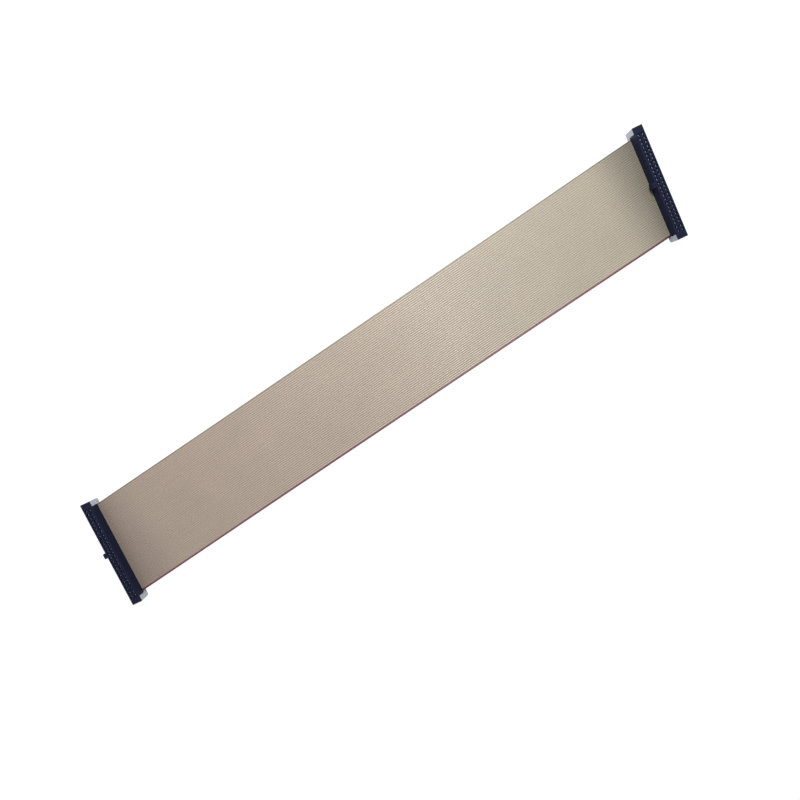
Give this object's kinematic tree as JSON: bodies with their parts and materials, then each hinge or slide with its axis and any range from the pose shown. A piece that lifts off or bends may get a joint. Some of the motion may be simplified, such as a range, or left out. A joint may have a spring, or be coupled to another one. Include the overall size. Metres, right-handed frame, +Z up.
{
  "type": "ribbon cable",
  "caption": "Flat ribbon cable with a red edge wire and a two-row insulation displacement socket pressed onto each end.",
  "frame": {"origin": "centre of the bounding box at the level of the table that the cable lies on", "axes": "+X along the ribbon towards socket B, +Y across the ribbon away from the red edge wire, +Z up out of the mating faces"},
  "size_m": [0.423, 0.0712, 0.0105],
  "materials": {
    "socket_moulding": "semi-matt moulded",
    "cover_moulding": "semi-matt, slightly translucent",
    "contact_tinned_bronze": "stamped phosphor bronze sheet, matt tin plated",
    "grey_insulation": "soft pvc with a low sheen",
    "red_insulation": "soft pvc with a low sheen"
  },
  "bodies": {
    "root": {"socket_body_a": "socket_moulding", "pressure_cover_a": "cover_moulding", "contacts_a_key_row": "contact_tinned_bronze", "contacts_a_plain_row": "contact_tinned_bronze", "socket_body_b": "socket_moulding", "pressure_cover_b": "cover_moulding", "contacts_b_key_row": "contact_tinned_bronze", "contacts_b_plain_row": "contact_tinned_bronze", "ribbon_jacket": "grey_insulation", "red_edge_wire": "red_insulation"}
  },
  "joints": []
}
